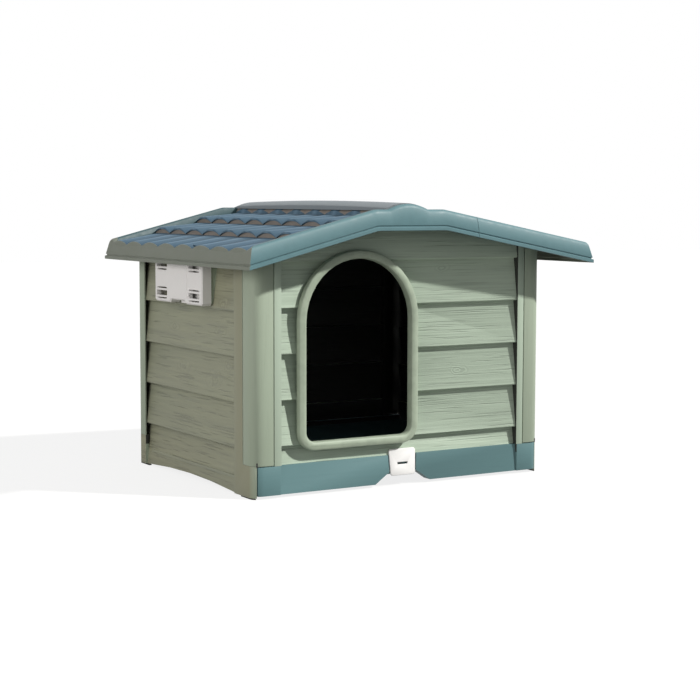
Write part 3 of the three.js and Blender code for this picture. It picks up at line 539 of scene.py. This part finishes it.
def new_piece(name, mesh, body, materials, replaced=()):
    obj = linked(name, mesh)
    for key in materials:
        mesh.materials.append(looks[key])
    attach(obj, body)
    if replaced:
        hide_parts(*replaced)
    return obj


def apply_modifiers(obj):
    bpy.context.view_layer.update()
    done = bpy.data.meshes.new_from_object(obj.evaluated_get(bpy.context.evaluated_depsgraph_get()))
    obj.modifiers.clear()
    obj.data = done


def smooth(obj, crease):
    """Smooth shading with a crease wherever two faces meet at more than this many degrees."""
    mesh = obj.data
    mesh.polygons.foreach_set("use_smooth", [True] * len(mesh.polygons))
    mesh.set_sharp_from_angle(angle=math.radians(crease))


def clean_copy(node, flatten):
    """A CAD node's mesh, with its flat stretches joined into single faces if flatten is set."""
    bm = bmesh.new()
    bm.from_mesh(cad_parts[node].data)
    bmesh.ops.remove_doubles(bm, verts=bm.verts, dist=SAME_PLACE * MM)
    if flatten:
        bmesh.ops.dissolve_limit(
            bm, angle_limit=math.radians(FLAT), verts=bm.verts, edges=bm.edges, delimit={"NORMAL"}
        )
    return bm


def softened(node, key, body="house", radius=WALL_EDGE):
    """Stands for a CAD node, with its edges rounded. Without a radius they are left as they are."""
    name = node + "_skin"
    obj = new_piece(name, mesh_of(name, clean_copy(node, radius > 0)), body, [key], [node])
    if not radius:
        return
    bevel = obj.modifiers.new("rounding", "BEVEL")
    bevel.width = radius * MM
    bevel.segments = 2
    bevel.limit_method = "ANGLE"
    bevel.angle_limit = math.radians(CREASE)
    apply_modifiers(obj)
    smooth(obj, CREASE)


for node, key in {
    "front_wall": "boards",
    "rear_wall": "boards",
    "left_wall": "side_boards",
    "right_wall": "side_boards",
    "front_left_post": "posts",
    "front_right_post": "posts",
    "rear_left_post": "posts",
    "rear_right_post": "posts",
    "door_surround": "ring",
}.items():
    softened(node, key)
softened("base_tray", "base")
softened("front_latch", "white", "latch", LATCH_EDGE)
for side in SIDES:
    softened(side + "_vent_housing", "white", "house", NO_EDGE)
    softened(side + "_vent_shutter", "white", side + "_shutter", SHUTTER_EDGE)
for end in ENDS:
    for side in SIDES:
        softened(f"{end}_{side}_foot_pad", "rubber", "house", PAD_EDGE)
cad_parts["latch_pin"].data.materials.clear()
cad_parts["latch_pin"].data.materials.append(looks["steel"])


def rebate(end, side):
    """The strip inside a corner that closes the seam between the post and the skirt. Its dark colour is
    the cabin's painted shade, standing in for the dim gap.
    """
    bm = bmesh.new()
    bmesh.ops.create_cube(bm, size=1.0)
    bmesh.ops.scale(bm, vec=Vector(REBATE_SIZE) * MM, verts=bm.verts)
    out_x, out_y = REBATE_OUT
    middle = Vector((HOUSE_MIDDLE[0] + side * out_x, end * out_y, REBATE_Z)) * MM
    bmesh.ops.translate(bm, vec=middle, verts=bm.verts)
    return mesh_of("rebate", bm)


for end_name, end in ENDS.items():
    for side_name, side in SIDES.items():
        name = f"{end_name}_{side_name}_rebate"
        new_piece(name, rebate(end, side), "house", ["seam"])


# ---------------------------------------------------------------- the roof's surfaces
def flange_height(x):
    """The height of the drip flange's foot, which rises in two straight slopes."""
    if x < FOLD_LEFT:
        return EAVE + RIDGE_RISE * (x + ROOF_HALF_X) / (FOLD_LEFT + ROOF_HALF_X)
    if x > FOLD_RIGHT:
        return EAVE + RIDGE_RISE * (ROOF_HALF_X - x) / (ROOF_HALF_X - FOLD_RIGHT)
    return EAVE + RIDGE_RISE


def valley(x):
    """The height of the valleys between the barrels."""
    rise = RIDGE_Z - EAVE_Z
    if x < RIDGE_LEFT:
        return EAVE_Z + rise * (x + EAVE_X) / (RIDGE_LEFT + EAVE_X)
    if x > RIDGE_RIGHT:
        return EAVE_Z + rise * (EAVE_X - x) / (EAVE_X - RIDGE_RIGHT)
    return RIDGE_Z


def bump(x):
    """How far the verge swells over the ridge."""
    t = (x - RIDGE_X) / RIDGE_HALF
    return BUMP * (1 - t * t) if abs(t) < 1 else 0.0


def barrel(y):
    """The height across the barrels, from 0 in a valley to 1 on a crest."""
    t = ((y / BARREL_PITCH) % 1.0) * 2 - 1
    return 1 - t * t


def lofted(name, loops):
    """A closed mesh through a row of loops of [x, y, z] in millimetres."""
    bm = bmesh.new()
    rows = [[bm.verts.new(Vector(p) * MM) for p in loop] for loop in loops]
    count = len(rows[0])
    for low, high in zip(rows, rows[1:]):
        for j in range(count):
            k = (j + 1) % count
            bm.faces.new((low[j], low[k], high[k], high[j]))
    bm.faces.new(reversed(rows[0]))
    bm.faces.new(rows[-1])
    bmesh.ops.recalc_face_normals(bm, faces=bm.faces)
    return mesh_of(name, bm)


# ---------------------------------------------------------------- the roof's rim
# Sections as [inset from the roof's outline, height]. The drip flange is measured from its foot, and
# the tops of the verge and of the lip from their own top. Verge and lip have as many points each.
DRIP = [(0.6, 0), (0, 0.6), (0, 6.9), (0.6, 7.5), (4, 8.5), (4, 10.5), (2.3, 11.2), (2, 12)]
DRIP_INSIDE = [(4 + SKIN, 12), (4 + SKIN, 8), (SKIN, 6.5), (SKIN, 0)]
VERGE_TOP = [
    (8, -9), (9.4, -5.2), (11.6, -2.2), (14.2, -0.6), (17, 0), (22, 0), (24, -0.9), (VERGE - 0.4, -3.4)
]
VERGE_UNDER = [(VERGE - 1 - SKIN, -3 - SKIN / 2), (20, -SKIN), (18, -SKIN), (14, -4.5), (11.5, -10)]
LIP_TOP = [(6.6, -7), (7.2, -3), (7.8, -1), (8.6, 0), (10, 0), (11, 0), (12, 0), (13.5, 0)]
LIP_UNDER = [(14, 0), (13, 0), (12.5, 0), (12, 0), (11.5, 0), (11, -0.3), (10.4, -3)]
TONGUE_UNDER = [(11.5, 35), (14, 40.5), (20.5, 40.5)]


def raised(section, height):
    return [(inset, height + dz) for inset, dz in section]


def verge_section(x):
    """The section of the front or rear band at x, with its inner leg down to the tiles."""
    top = FASCIA_HEIGHT + bump(x)
    drop = SIDE_DROP if x > SEAM_X else 0.0
    foot = valley(x) - drop - SKIN - VERGE_HANG - flange_height(x)
    leg = [(VERGE, foot), (VERGE - SKIN, foot)]
    return [*DRIP, *raised(VERGE_TOP, top), *leg, *raised(VERGE_UNDER, top), *DRIP_INSIDE]


def lip_section(side):
    """The section of the band under one eave."""
    top = EAVE_Z - (SIDE_DROP if side > 0 else 0.0) - EAVE - LIP_CLEAR
    return [*DRIP, *raised(LIP_TOP, top), *raised(LIP_UNDER, top - SKIN), *DRIP_INSIDE]


def rim(side, seam):
    """The fascias and the eave lip of one moulding, as one swept band mitred at the corners."""
    stations = [fold + soft for fold in (FOLD_LEFT, FOLD_RIGHT) for soft in (-FOLD_SOFT, FOLD_SOFT)]
    stations += [RIDGE_LEFT + 2 * RIDGE_HALF * i / BUMP_STEPS for i in range(BUMP_STEPS + 1)]
    outward = sorted((x for x in stations if side * (x - seam) > 0), key=lambda x: side * x)

    def verge(end):
        loops = [
            [(x, end * (ROOF_HALF_Y - inset), flange_height(x) + dz) for inset, dz in verge_section(x)]
            for x in [seam, *outward]
        ]
        corner = []
        for inset, dz in verge_section(side * ROOF_HALF_X):
            x = side * (ROOF_HALF_X - inset)
            corner.append((x, end * (ROOF_HALF_Y - inset), flange_height(x) + dz))
        return [*loops, corner]

    def lip(y):
        return [(side * (ROOF_HALF_X - inset), y, EAVE + dz) for inset, dz in lip_section(side)]

    reach = ROOF_HALF_Y - VERGE - LIP_END
    return [*verge(-1), lip(-reach), lip(reach), *reversed(verge(1))]


# ---------------------------------------------------------------- the tiles
# Stations back from a course's lower edge, each with its share of the full crest, or None where the
# crest is still growing. The other shares are of the same crest: under the edge, on the riser's top,
# and on the inside at the riser and at the eave.
COURSE_EDGE = ((60.0, None), (2.4, 1.0), (0.7, 0.965), (0.0, 0.88))
UNDER_EDGE = 0.72
RISER_TOP = 0.66
RISER_INSIDE = 0.9
EAVE_INSIDE = 0.85

# How upright a painted face is, how near it lies to its line, and the band of the eave's lip.
UPRIGHT = 0.5
ON_RISER = 0.4
ON_SEAT = 4.0
LIP_BAND = 30.0
ACROSS = 0.6


def course_lines(heads, towards, drop):
    """The upper and the lower line of one slope from the ridge to the eave, each a list of
    [x, base height, crest height]. Each course ends in a lifted edge over a set-back riser."""
    upper, lower = [], []
    for i, x in enumerate(heads):
        last = i == len(heads) - 1
        end = towards * EAVE_X if last else heads[i + 1]
        crest, lift = (CREST_EAVE, 0.0) if last else (CREST_HIGH, EDGE_LIFT)
        start = x - towards * RECESS if i else x + towards * RISER_RUN
        upper.append((start, valley(start) - drop, CREST_LOW))
        for back, share in COURSE_EDGE:
            at = end - towards * back
            run = (at - start) / (end - start)
            height = CREST_LOW + (crest - CREST_LOW) * run if share is None else crest * share
            upper.append((at, valley(at) - drop + lift * run, height))
        lower.append((x - towards * (RECESS + SKIN), valley(x) - drop - SKIN, CREST_LOW))
        inside = valley(end) - drop - SKIN
        if last:
            lower += [(end - towards * SKIN, inside, EAVE_INSIDE * crest), (end, inside, 0.0)]
        else:
            under = valley(end) - drop + UNDER_EDGE * lift
            riser = end - towards * RECESS
            upper += [(end, under, UNDER_EDGE * crest), (riser, under, RISER_TOP * crest)]
            lower.append((riser - towards * SKIN, inside, RISER_INSIDE * crest))
    return upper, lower


def ridge_line(depth, wall):
    """The line over the ridge's seat and down to the seam, this deep under the surface. wall is how
    far the seat's upright sides stand in."""
    foot = RIDGE_RIGHT + RISER_RUN
    return [
        (RIDGE_LEFT + wall, valley(RIDGE_LEFT) - depth, CREST_CAP),
        (RIDGE_LEFT + SEAT_EDGE, PLATEAU - depth, 0),
        (RIDGE_RIGHT - SEAT_EDGE, PLATEAU - depth, 0),
        (RIDGE_RIGHT - wall, valley(RIDGE_RIGHT) - depth, CREST_CAP),
        (foot, valley(foot) - depth, CREST_LOW),
        (LEFT_END, valley(LEFT_END) - depth, CREST_HIGH),
    ]


def seam_lip_lines():
    """The right moulding's tiled lip, which closes the gap under the left one's edge."""
    foot = RIDGE_RIGHT + RISER_RUN
    inner = SEAM_X - LIP_REACH
    inner_crest = CREST_LOW + (CREST_HIGH - CREST_LOW) * (inner - foot) / (SEAM_X - foot)
    under = SKIN + SEAM_GAP
    tail = RIGHT_START + LIP_TAIL
    upper = [
        (inner, valley(inner) - under, inner_crest),
        (SEAM_X - LIP_EDGE, valley(SEAM_X) - under, CREST_HIGH),
        (RIGHT_START + LIP_TOE, valley(SEAM_X) - under, CREST_HIGH),
        (RIGHT_START + LIP_FOOT, valley(RIGHT_START) - SIDE_DROP, CREST_LOW),
        (tail, valley(tail) - SIDE_DROP - LIP_TOE, CREST_LOW),
    ]
    return upper, [(x, z - SKIN, crest) for x, z, crest in upper]


def tile_shell(upper, lower, half_width):
    """The loops of a tiled sheet between an upper and a lower line, from front to rear."""
    steps = BARRELS * BARREL_STEPS
    inner = [(i - steps / 2) * BARREL_PITCH / BARREL_STEPS for i in range(steps + 1)]
    loops = []
    for y in [-half_width, *[y for y in inner if abs(y) < half_width - LEAST_STEP], half_width]:
        top = [(x, y, z + crest * barrel(y)) for x, z, crest in upper]
        below = [(x, y, z + crest * barrel(y)) for x, z, crest in lower]
        loops.append([*top, *reversed(below)])
    return loops


def paint_upright(obj, places, index):
    """Gives the upright faces at these x, each with its reach, a material of their own."""
    for face in obj.data.polygons:
        if abs(face.normal.x) < UPRIGHT or abs(face.center.y) > (ROOF_HALF_Y - VERGE + 1) * MM:
            continue
        if any(abs(face.center.x - x * MM) < reach * MM for x, reach in places):
            face.material_index = index


def paint_lip(obj, side, index):
    """Gives the band under the eave a material of its own."""
    for face in obj.data.polygons:
        if side * face.center.x > (ROOF_HALF_X - LIP_BAND) * MM and abs(face.normal.y) < ACROSS:
            face.material_index = index


def drain_slots(obj):
    """Cuts the two long drain slots near the left eave."""
    for side in (-1, 1):
        bm = bmesh.new()
        bmesh.ops.create_cone(
            bm, cap_ends=True, segments=DRAIN_SIDES, radius1=1.0, radius2=1.0, depth=DRAIN_DEPTH * MM
        )
        bmesh.ops.scale(bm, vec=(DRAIN_HALF_X * MM, DRAIN_HALF_Y * MM, 1.0), verts=bm.verts)
        bmesh.ops.translate(bm, vec=Vector((DRAIN_X, side * DRAIN_Y, EAVE_Z)) * MM, verts=bm.verts)
        tool = linked("slot", mesh_of("slot", bm))
        trim = obj.modifiers.new("slot", "BOOLEAN")
        trim.operation = "DIFFERENCE"
        trim.solver = "EXACT"
        trim.object = tool
        apply_modifiers(obj)
        bpy.data.objects.remove(tool)


def evenly(begin, end, count):
    """Where each of this many equal courses begins."""
    return [begin + (end - begin) * i / count for i in range(count)]


left_heads = evenly(RIDGE_LEFT, -EAVE_X, COURSES)
right_heads = evenly(RIGHT_START, EAVE_X, COURSES)
left_upper, left_lower = ([*reversed(line)] for line in course_lines(left_heads, -1, 0.0))
left_upper += ridge_line(0.0, 0.0)
left_lower += ridge_line(SKIN, SKIN)
right_upper, right_lower = course_lines(right_heads, 1, SIDE_DROP)
right_upper[0] = (RIGHT_START, valley(RIGHT_START) - SIDE_DROP, CREST_LOW)
right_lower[0] = (RIGHT_START, valley(RIGHT_START) - SIDE_DROP - SKIN, CREST_LOW)
seat_sides = [(x, ON_SEAT) for x in (RIDGE_LEFT + SEAT_EDGE / 2, RIDGE_RIGHT - SEAT_EDGE / 2)]
left_risers = [(x + RECESS, ON_RISER) for x in left_heads[1:]] + seat_sides
right_risers = [(x - RECESS, ON_RISER) for x in right_heads[1:]]
for name, lines, risers, node in (
    ("left_tiles", (left_upper, left_lower), left_risers, "left_roof_panel"),
    ("right_tiles", (right_upper, right_lower), right_risers, "right_roof_panel"),
):
    mesh = lofted(name, tile_shell(*lines, TILES_HALF_Y))
    tiles = new_piece(name, mesh, "roof", ["tile", "riser", "lip"], [node])
    # The risers take their own material, which paints their shade.
    paint_upright(tiles, risers, 1)
    paint_upright(tiles, [(-EAVE_X, ON_RISER), (EAVE_X, ON_RISER)], 2)
    if name == "left_tiles":
        drain_slots(tiles)
    smooth(tiles, TILE_CREASE)
for name, side, seam, node in (
    ("left_rim", -1, LEFT_END, "left_roof_panel"),
    ("right_rim", 1, RIGHT_START, "right_roof_panel"),
):
    mesh = lofted(name, rim(side, seam))
    band = new_piece(name, mesh, "roof", ["fascia", "lip"], [node])
    paint_lip(band, side, 1)
    smooth(band, RIM_CREASE)
mesh = lofted("seam_lip", tile_shell(*seam_lip_lines(), LIP_HALF_Y))
seam_lip = new_piece("seam_lip", mesh, "roof", ["tile"], ["right_roof_panel"])
smooth(seam_lip, TILE_CREASE)


def seam_tongue(end):
    """The right moulding's tongue behind the seam between the two fascias. It stands back from the
    left moulding and meets the right one."""
    behind, beside = TONGUE_STEP
    stations = (
        (-TONGUE_REACH, TONGUE_GAP),
        (behind, TONGUE_GAP),
        (beside, -TONGUE_GAP),
        (TONGUE_REACH, -TONGUE_GAP),
    )
    loops = []
    for step, gap in stations:
        outer, inner = [], []
        for inset, dz in [*reversed(DRIP_INSIDE), *TONGUE_UNDER]:
            if dz > TONGUE_TOP:
                outer.append((inset + gap, dz - gap))
                inner.append((inset + gap, dz - gap - TONGUE_WALL))
            else:
                outer.append((inset + gap, max(TONGUE_FOOT, dz)))
                inner.append((inset + gap + TONGUE_WALL, max(TONGUE_FOOT, dz)))
        x = SEAM_X + step
        section = [*outer, *reversed(inner)]
        loops.append([(x, end * (ROOF_HALF_Y - inset), flange_height(x) + dz) for inset, dz in section])
    return loops


for end_name, end in ENDS.items():
    name = end_name + "_seam_tongue"
    mesh = lofted(name, seam_tongue(end))
    tongue = new_piece(name, mesh, "roof", ["fascia"], ["right_roof_panel"])
    smooth(tongue, RIM_CREASE)


# ---------------------------------------------------------------- the ridge cap
def cap_loop(y):
    """The cap's section at y: an arch between two upright sides, which rises towards the middle."""
    lift = CAP_ARCH * (1 - (y / CAP_HALF_Y) ** 2)
    shoulder = CAP_SHOULDER + lift
    cut_x, cut_z = CAP_CHAMFER
    outer = [(-CAP_HALF_X, CAP_FOOT), (-CAP_HALF_X, shoulder - cut_z), (cut_x - CAP_HALF_X, shoulder)]
    for i in range(1, CAP_STEPS):
        t = 2 * i / CAP_STEPS - 1
        outer.append((t * CAP_HALF_X, shoulder + CAP_CROWN * (1 - t * t)))
    outer += [(CAP_HALF_X - cut_x, shoulder), (CAP_HALF_X, shoulder - cut_z), (CAP_HALF_X, CAP_FOOT)]
    inner = []
    for x, z in outer:
        on_side = abs(x) >= CAP_HALF_X - cut_x
        inside_x = x - math.copysign(CAP_WALL, x) if on_side else x * CAP_NARROWING
        inner.append((inside_x, z if z == CAP_FOOT else z - CAP_WALL))
    return [(RIDGE_X + x, y, z) for x, z in [*outer, *reversed(inner)]]


places = [CAP_HALF_Y * (2 * i / CAP_STATIONS - 1) for i in range(CAP_STATIONS + 1)]
mesh = lofted("cap", [cap_loop(y) for y in places])
cap = new_piece("ridge_cap_skin", mesh, "roof", ["cap"], ["ridge_cap"])
smooth(cap, TILE_CREASE)

# ---------------------------------------------------------------- floor and light
FLOOR_GLOW = 0.82
FLOOR_SIZE = 12.0
AMBIENT = 0.25
AMBIENT_TINT = (0.97, 0.98, 1.0, 1.0)
PURE_WHITE = (1.0, 1.0, 1.0, 1.0)
SUN_POWER = 3.8
SUN_SPREAD = 2.5
SUN_TINT = (1.0, 0.985, 0.95)
SUN_TRAVEL = Vector((-1.05, 1.0, -1.2))
FILL_POWER = 50.0
FILL_SIZE = 2.4
FILL_TINT = (1.0, 0.96, 0.92)
FILL_PLACE = (-3.5, -0.8, 1.15)
FILL_TRAVEL = Vector((1.0, 0.23, -0.26))


def floor_material():
    """A pale floor that shows as white and still keeps the house's shadow."""
    n = Nodes("pale_floor")
    n.shader.inputs["Base Color"].default_value = linear(FLOOR)
    n.shader.inputs["Roughness"].default_value = 0.95
    n.shader.inputs["Specular IOR Level"].default_value = 0.1
    rays = n.add("ShaderNodeLightPath").outputs
    seen = n.math("MAXIMUM", rays["Is Camera Ray"], rays["Is Glossy Ray"])
    glow = n.add("ShaderNodeEmission", {"Color": PURE_WHITE, "Strength": FLOOR_GLOW})
    none = n.add("ShaderNodeEmission", {"Strength": 0.0})
    shine = n.add("ShaderNodeMixShader", {0: seen, 1: none.outputs[0], 2: glow.outputs[0]})
    both = n.add("ShaderNodeAddShader", {0: n.shader.outputs[0], 1: shine.outputs[0]})
    n.put(n.tree.nodes["Material Output"].inputs["Surface"], both.outputs[0])
    return n.material


def studio_world():
    """Plain ambient light, with a white backdrop for the camera and for reflections."""
    world = bpy.data.worlds.new("studio")
    world.use_nodes = True
    tree = world.node_tree
    ambient = tree.nodes["Background"]
    ambient.inputs["Color"].default_value = AMBIENT_TINT
    ambient.inputs["Strength"].default_value = AMBIENT
    backdrop = tree.nodes.new("ShaderNodeBackground")
    backdrop.inputs["Color"].default_value = PURE_WHITE
    rays = tree.nodes.new("ShaderNodeLightPath").outputs
    seen = rays["Is Camera Ray"]
    for kind in ("Is Glossy Ray", "Is Transmission Ray"):
        either = tree.nodes.new("ShaderNodeMath")
        either.operation = "MAXIMUM"
        tree.links.new(seen, either.inputs[0])
        tree.links.new(rays[kind], either.inputs[1])
        seen = either.outputs[0]
    choice = tree.nodes.new("ShaderNodeMixShader")
    tree.links.new(seen, choice.inputs[0])
    tree.links.new(ambient.outputs[0], choice.inputs[1])
    tree.links.new(backdrop.outputs[0], choice.inputs[2])
    tree.links.new(choice.outputs[0], tree.nodes["World Output"].inputs["Surface"])
    return world


def aimed(obj, travel):
    """Turns a lamp so that its light travels this way."""
    obj.rotation_euler = travel.to_track_quat("-Z", "Y").to_euler()


bm = bmesh.new()
bmesh.ops.create_grid(bm, x_segments=1, y_segments=1, size=FLOOR_SIZE)
floor = linked("floor", mesh_of("floor", bm))
floor.data.materials.append(floor_material())
bpy.context.scene.world = studio_world()

sun = bpy.data.lights.new("key", "SUN")
sun.energy = SUN_POWER
sun.angle = math.radians(SUN_SPREAD)
sun.color = SUN_TINT
aimed(linked("key", sun), SUN_TRAVEL)

soft = bpy.data.lights.new("fill", "AREA")
soft.energy = FILL_POWER
soft.size = FILL_SIZE
soft.color = FILL_TINT
fill = linked("fill", soft)
fill.location = FILL_PLACE
aimed(fill, FILL_TRAVEL)

# ---------------------------------------------------------------- camera
# The photograph's view: its place in metres, its turns in degrees and its focal length in pixels.
CAMERA_PLACE = (-1.9818, -3.3089, 0.632)
YAW = math.radians(31.149)
PITCH = math.radians(5.271)
ROLL = math.radians(0.136)
FOCAL_PIXELS = 1639.47
PHOTO_PIXELS = 700.0
SENSOR = 36.0

ahead = Vector((math.sin(YAW) * math.cos(PITCH), math.cos(YAW) * math.cos(PITCH), -math.sin(PITCH)))
across = Vector((math.cos(YAW), -math.sin(YAW), 0.0))
above = across.cross(ahead)
right = across * math.cos(ROLL) + above * math.sin(ROLL)
up = above * math.cos(ROLL) - across * math.sin(ROLL)
lens = bpy.data.cameras.new("camera")
lens.sensor_width = SENSOR
lens.lens = SENSOR * FOCAL_PIXELS / PHOTO_PIXELS
lens.clip_end = 60.0
camera = linked("camera", lens)
turn = Matrix((right, up, -ahead)).transposed().to_4x4()
camera.matrix_world = Matrix.Translation(CAMERA_PLACE) @ turn
bpy.context.scene.camera = camera
bpy.context.scene.view_settings.view_transform = "Standard"
